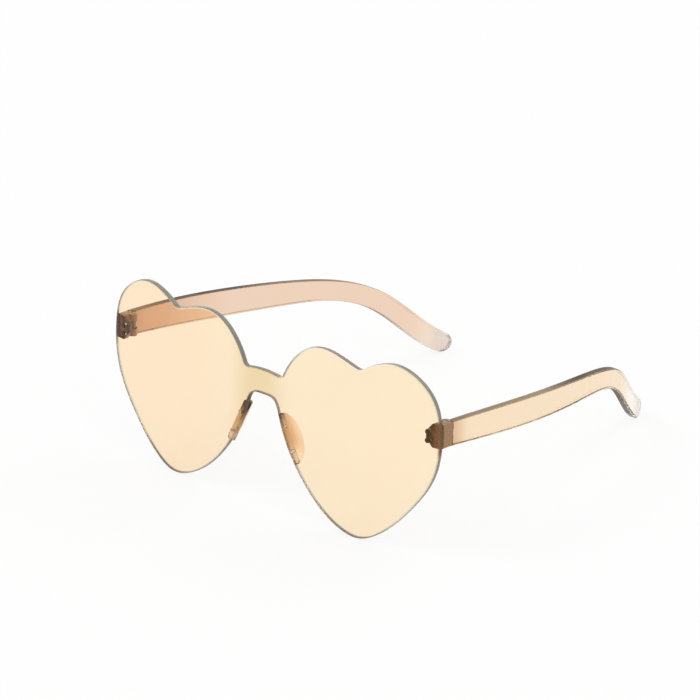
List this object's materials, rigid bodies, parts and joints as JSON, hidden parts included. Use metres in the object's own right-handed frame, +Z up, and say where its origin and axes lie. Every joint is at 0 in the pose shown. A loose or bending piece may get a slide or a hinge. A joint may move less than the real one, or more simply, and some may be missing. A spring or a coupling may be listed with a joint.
{
  "type": "heart shaped sunglasses",
  "caption": "Rimless sunglasses with a one-piece curved front of tinted heart lenses, nose pads and translucent arms that fold on moulded screw hinges.",
  "frame": {"origin": "middle of the open glasses' bounding box on the surface that they lie on", "axes": "+X to the wearer's left, +Y from the lenses back to the ear ends, +Z up, lying open on the heart tips and the ear ends"},
  "size_m": [0.1454, 0.1402, 0.0629],
  "materials": {
    "lens_tint": "clear peach tint, polished",
    "arm_tint": "clear peach tint, polished",
    "pad_tint": "clear amber tint, satin",
    "end_block": "smoked brown, polished",
    "screw_metal": "nickel tone, satin",
    "rivet_plastic": "dark brown, satin"
  },
  "bodies": {
    "front": {"lens_front": "lens_tint", "nose_pad_left": "pad_tint", "end_piece_left": "end_block", "lens_rivet_upper_left": "rivet_plastic", "lens_rivet_lower_left": "rivet_plastic", "hinge_screw_left": "screw_metal", "nose_pad_right": "pad_tint", "end_piece_right": "end_block", "lens_rivet_upper_right": "rivet_plastic", "lens_rivet_lower_right": "rivet_plastic", "hinge_screw_right": "screw_metal"},
    "left_arm": {"temple_left": "arm_tint"},
    "right_arm": {"temple_right": "arm_tint"}
  },
  "joints": [
    {"name": "left_fold", "type": "hinge", "parent": "front", "child": "left_arm", "pos_m": [0.06955, -0.05718, 0.04173], "axis": [0, 0.0546, 0.9985], "range_deg": [0, 78]},
    {"name": "right_fold", "type": "hinge", "parent": "front", "child": "right_arm", "pos_m": [-0.06955, -0.05718, 0.04173], "axis": [0, -0.0546, -0.9985], "range_deg": [0, 73]}
  ]
}
